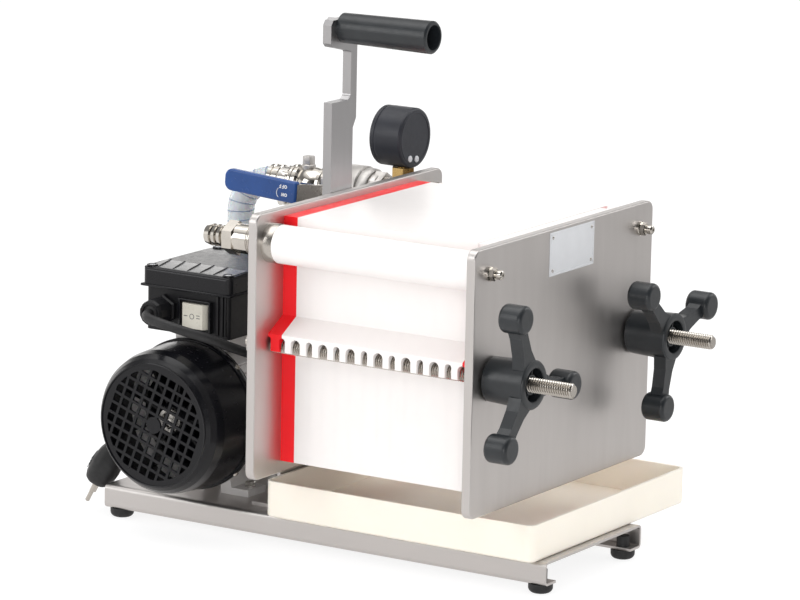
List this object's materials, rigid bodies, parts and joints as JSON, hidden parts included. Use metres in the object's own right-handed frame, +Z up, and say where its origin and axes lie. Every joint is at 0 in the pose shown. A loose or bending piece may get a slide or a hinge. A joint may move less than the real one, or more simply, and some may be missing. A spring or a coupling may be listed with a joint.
{
  "type": "plate filter press",
  "caption": "Bench plate filter press: a stack of square filter plates clamped by two hand knobs on tie rods over a drip tray, with a motor pump, valve, gauge and carrying handle on one base.",
  "frame": {"origin": "on the floor, under the middle of the machine", "axes": "+X along the press from the motor to the hand knobs, +Y to the side with the valve and the gauge, +Z up"},
  "size_m": [0.5009, 0.3526, 0.4369],
  "materials": {
    "stainless": "satin folded stainless sheet",
    "rod_steel": "bright zinc-plated steel",
    "fitting_chrome": "nickel-plated brass",
    "brass": "bare brass",
    "motor_aluminium": "grey cast aluminium",
    "pump_bronze": "cast bronze",
    "black_plastic": "black moulded nylon",
    "black_gloss": "glossy black plastic",
    "black_rubber": "black rubber",
    "white_plastic": "white food-grade polypropylene",
    "red_plastic": "red polypropylene",
    "cream_plastic": "cream polypropylene",
    "ivory_plastic": "ivory switch plastic",
    "clear_plastic": "smoky clear plastic",
    "blue_plastic": "blue dipped vinyl",
    "clear_hose": "clear PVC with a white spiral"
  },
  "bodies": {
    "root": {"base_channel": "stainless", "rubber_feet": "black_rubber", "drip_tray": "cream_plastic", "rear_plate": "stainless", "plate_bracket": "stainless", "tie_rod_near": "rod_steel", "tie_rod_far": "rod_steel", "rod_nuts": "rod_steel", "head_plate": "red_plastic", "end_plate": "red_plastic", "channel_seals": "white_plastic", "motor_body": "motor_aluminium", "fan_cowl": "black_plastic", "terminal_box": "black_plastic", "terminal_lid": "black_plastic", "switch_frame": "clear_plastic", "cable_gland": "black_plastic", "pump_body": "pump_bronze", "inlet_hose_tail": "fitting_chrome", "pump_outlet_tail": "fitting_chrome", "outlet_hose_tail": "fitting_chrome", "channel_tee": "fitting_chrome", "ball_valve_body": "fitting_chrome", "valve_union": "fitting_chrome", "hose_clamps": "rod_steel", "pressure_gauge": "black_gloss", "gauge_stem": "brass", "handle_bar": "stainless", "handle_grip": "black_rubber", "transfer_hose": "clear_hose", "power_cord": "black_rubber", "cord_coil": "black_rubber", "plug": "black_rubber", "filter_plate_01": "white_plastic", "filter_plate_02": "white_plastic", "filter_plate_03": "white_plastic", "filter_plate_04": "white_plastic", "filter_plate_05": "white_plastic", "filter_plate_06": "white_plastic", "filter_plate_07": "white_plastic", "filter_plate_08": "white_plastic", "filter_plate_09": "white_plastic", "filter_plate_10": "white_plastic", "filter_plate_11": "white_plastic", "filter_plate_12": "white_plastic", "filter_plate_13": "white_plastic"},
    "press_body": {"press_plate": "stainless", "bleed_valve_near": "fitting_chrome", "bleed_valve_far": "fitting_chrome"},
    "knob_near_body": {"hand_knob_near": "black_plastic"},
    "knob_far_body": {"hand_knob_far": "black_plastic"},
    "lever_body": {"valve_lever": "rod_steel", "lever_sleeve": "blue_plastic"},
    "rocker_body": {"rocker_switch": "ivory_plastic"},
    "fan_body": {"cooling_fan": "black_plastic"}
  },
  "joints": [
    {"name": "press_slide", "type": "slide", "parent": "root", "child": "press_body", "axis": [1, 0, 0], "range_m": [0, 0.028]},
    {"name": "knob_near_spin", "type": "hinge", "parent": "press_body", "child": "knob_near_body", "pos_m": [0.1603, -0.1235, 0.179], "axis": [1, 0, 0], "range_deg": [0, 5761]},
    {"name": "knob_far_spin", "type": "hinge", "parent": "press_body", "child": "knob_far_body", "pos_m": [0.1603, 0.1015, 0.179], "axis": [1, 0, 0], "range_deg": [0, 5761]},
    {"name": "valve_turn", "type": "hinge", "parent": "root", "child": "lever_body", "pos_m": [-0.1135, 0.073, 0.2637], "axis": [0, 1, 0], "range_deg": [0, 86]},
    {"name": "rocker_tilt", "type": "hinge", "parent": "root", "child": "rocker_body", "pos_m": [-0.1335, -0.101, 0.1882], "axis": [0, 0, 1], "range_deg": [-10, 10]},
    {"name": "fan_spin", "type": "hinge", "parent": "root", "child": "fan_body", "pos_m": [-0.15, -0.11, 0.1003], "axis": [0, 1, 0], "continuous": true}
  ],
  "couplings": [
    {"joint": "knob_near_spin", "follows": "press_slide", "rad_per_m": 3590.4},
    {"joint": "knob_far_spin", "follows": "press_slide", "rad_per_m": 3590.4}
  ]
}
